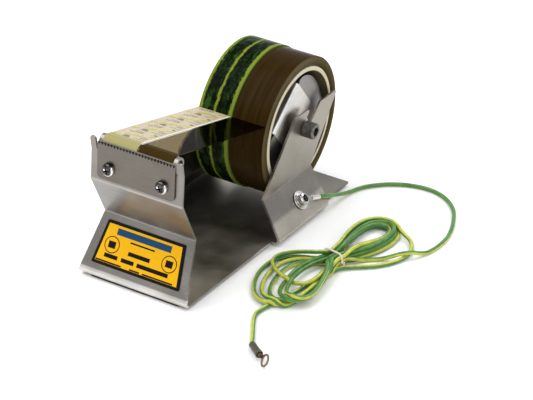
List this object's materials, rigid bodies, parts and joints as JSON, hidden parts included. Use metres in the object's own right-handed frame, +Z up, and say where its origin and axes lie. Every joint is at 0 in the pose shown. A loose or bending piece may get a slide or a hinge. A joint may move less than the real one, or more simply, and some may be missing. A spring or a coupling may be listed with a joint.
{
  "type": "bench-top tape dispenser",
  "caption": "Bench tape dispenser in bent sheet steel: two tape rolls on a lift-out spindle, toothed cutter blade with rolled rest, and a coiled ground cord.",
  "frame": {"origin": "bottom centre of the dispenser's bounding box, cord left out, at the bench under the base pad", "axes": "+Z up, -Y towards the front panel and the cutter blade, +X towards the side that the ground cord leaves from"},
  "size_m": [0.1774, 0.2608, 0.1082],
  "materials": {
    "stainless_sheet": "satin rolled finish",
    "blade_steel": "satin, ground teeth",
    "plated_steel": "bright plated",
    "black_oxide": "blackened, lightly oiled",
    "hub_aluminium": "satin",
    "nylon": "matte natural",
    "core_board": "matte wound board",
    "printed_tape": "glossy wound film",
    "clear_tape": "glossy wound film",
    "printed_film": "glossy printed film",
    "clear_film": "glossy clear film",
    "label_print": "semi-gloss print",
    "pad_rubber": "matte",
    "cord_sleeve": "matte extruded sleeve",
    "tie_paper": "matte",
    "terminal_bronze": "dull",
    "shrink_sleeve": "matte"
  },
  "bodies": {
    "frame": {"chassis": "stainless_sheet", "base_pad": "pad_rubber", "label_plate": "label_print", "cutter_blade": "blade_steel", "blade_screw_left": "plated_steel", "blade_screw_right": "plated_steel", "blade_washer_left": "plated_steel", "blade_washer_right": "plated_steel", "blade_nut_left": "plated_steel", "blade_nut_right": "plated_steel", "printed_tape_web": "printed_film", "clear_tape_web": "clear_film", "ground_screw": "plated_steel", "ground_star_washer": "plated_steel", "ground_nut": "plated_steel", "near_ring_terminal": "plated_steel", "ground_cord_lead": "cord_sleeve", "ground_cord_loop": "cord_sleeve", "ground_cord_hank": "cord_sleeve", "ground_cord_tail": "cord_sleeve", "hank_tie": "tie_paper", "far_ring_terminal": "terminal_bronze", "far_terminal_sleeve": "shrink_sleeve"},
    "spindle": {"axle_bolt": "black_oxide", "axle_washer": "plated_steel", "axle_nut": "black_oxide", "hub_spacer_left": "nylon", "hub_spacer_right": "nylon"},
    "roll": {"hub_sleeve": "hub_aluminium", "hub_plate_left": "hub_aluminium", "hub_plate_right": "hub_aluminium", "printed_tape_core": "core_board", "clear_tape_core": "core_board", "printed_tape_roll": "printed_tape", "clear_tape_roll": "clear_tape"}
  },
  "joints": [
    {"name": "spindle_lift", "type": "slide", "parent": "frame", "child": "spindle", "axis": [0, 0.7314, 0.682], "range_m": [0, 0.018]},
    {"name": "roll_spin", "type": "hinge", "parent": "spindle", "child": "roll", "pos_m": [0, 0.057, 0.0594], "axis": [1, 0, 0], "continuous": true}
  ]
}
